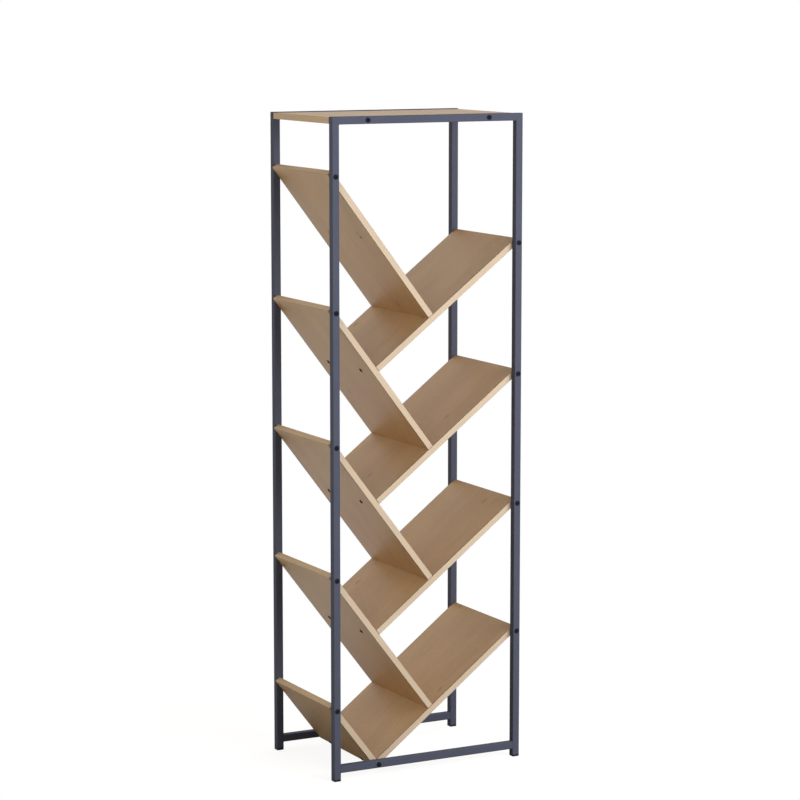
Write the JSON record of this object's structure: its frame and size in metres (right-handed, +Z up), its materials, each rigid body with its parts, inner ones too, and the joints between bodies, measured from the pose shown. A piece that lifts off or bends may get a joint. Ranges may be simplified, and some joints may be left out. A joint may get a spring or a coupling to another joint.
{
  "type": "tree bookcase",
  "caption": "Tall narrow bookcase: two slim square-tube steel frames hold slanted oak-look boards that cross like branches, under a flat top panel.",
  "frame": {"origin": "on the floor, under the middle of the bookcase's outline", "axes": "+Z up; +X to the right of someone who faces the front; +Y from the front frame to the back frame"},
  "size_m": [0.4548, 0.3062, 1.4],
  "materials": {
    "steel_paint": "slate blue-grey powder coat, fine satin texture",
    "oak_laminate": "light oak laminate, matt, with paler edge bands",
    "bolt_black": "black zinc, satin",
    "screw_black": "black zinc, satin",
    "foot_plastic": "black moulded plastic"
  },
  "bodies": {
    "root": {"front_left_upright": "steel_paint", "front_right_upright": "steel_paint", "front_top_rail": "steel_paint", "front_bottom_rail": "steel_paint", "front_left_foot": "foot_plastic", "front_right_foot": "foot_plastic", "back_left_upright": "steel_paint", "back_right_upright": "steel_paint", "back_top_rail": "steel_paint", "back_bottom_rail": "steel_paint", "back_left_foot": "foot_plastic", "back_right_foot": "foot_plastic", "top_panel": "oak_laminate", "left_board_1": "oak_laminate", "left_board_2": "oak_laminate", "left_board_3": "oak_laminate", "left_board_4": "oak_laminate", "left_board_5": "oak_laminate", "right_board_1": "oak_laminate", "right_board_2": "oak_laminate", "right_board_3": "oak_laminate", "right_board_4": "oak_laminate", "front_left_bolt_1": "bolt_black", "front_left_bolt_2": "bolt_black", "front_left_bolt_3": "bolt_black", "front_left_bolt_4": "bolt_black", "front_left_bolt_5": "bolt_black", "front_right_bolt_1": "bolt_black", "front_right_bolt_2": "bolt_black", "front_right_bolt_3": "bolt_black", "front_right_bolt_4": "bolt_black", "front_top_bolt_1": "bolt_black", "front_top_bolt_2": "bolt_black", "front_bottom_bolt_1": "bolt_black", "back_left_bolt_1": "bolt_black", "back_left_bolt_2": "bolt_black", "back_left_bolt_3": "bolt_black", "back_left_bolt_4": "bolt_black", "back_left_bolt_5": "bolt_black", "back_right_bolt_1": "bolt_black", "back_right_bolt_2": "bolt_black", "back_right_bolt_3": "bolt_black", "back_right_bolt_4": "bolt_black", "back_top_bolt_1": "bolt_black", "back_top_bolt_2": "bolt_black", "back_bottom_bolt_1": "bolt_black", "left_board_2_front_screw": "screw_black", "left_board_2_back_screw": "screw_black", "left_board_3_front_screw": "screw_black", "left_board_3_back_screw": "screw_black", "left_board_4_front_screw": "screw_black", "left_board_4_back_screw": "screw_black", "right_board_1_front_screw": "screw_black", "right_board_1_back_screw": "screw_black", "right_board_2_front_screw": "screw_black", "right_board_2_back_screw": "screw_black", "right_board_3_front_screw": "screw_black", "right_board_3_back_screw": "screw_black", "right_board_4_front_screw": "screw_black", "right_board_4_back_screw": "screw_black"}
  },
  "joints": []
}
